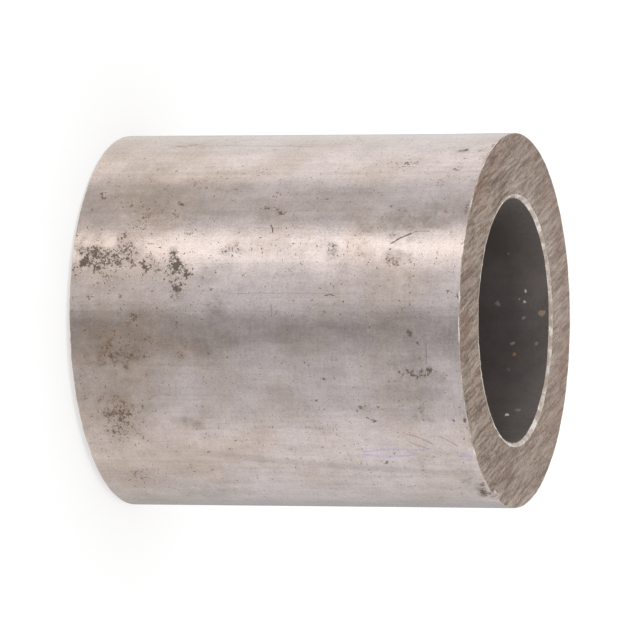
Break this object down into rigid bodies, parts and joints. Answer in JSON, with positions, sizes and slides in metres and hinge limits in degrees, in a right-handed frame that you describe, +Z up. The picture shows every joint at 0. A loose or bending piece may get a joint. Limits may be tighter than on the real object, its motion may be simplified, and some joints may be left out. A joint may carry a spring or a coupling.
{
  "type": "spacer sleeve",
  "caption": "Plain thick-walled steel spacer sleeve cut from drawn tube, with sawn ends, broken edges and a small knock in one rim.",
  "frame": {"origin": "on the bore's axis, level with the lowest point of the lower end, which is sawn 0.86 degrees out of square", "axes": "+Z up the bore's axis, from the end that the sleeve stands on to the end that carries the knock; the knock lies 20.5 degrees from +X towards -Y"},
  "size_m": [0.028, 0.028, 0.0306],
  "materials": {
    "steel": "bare cold-drawn steel with sawn ends, thin rust and scale marks, no coating"
  },
  "bodies": {
    "root": {"sleeve": "steel"}
  },
  "joints": []
}
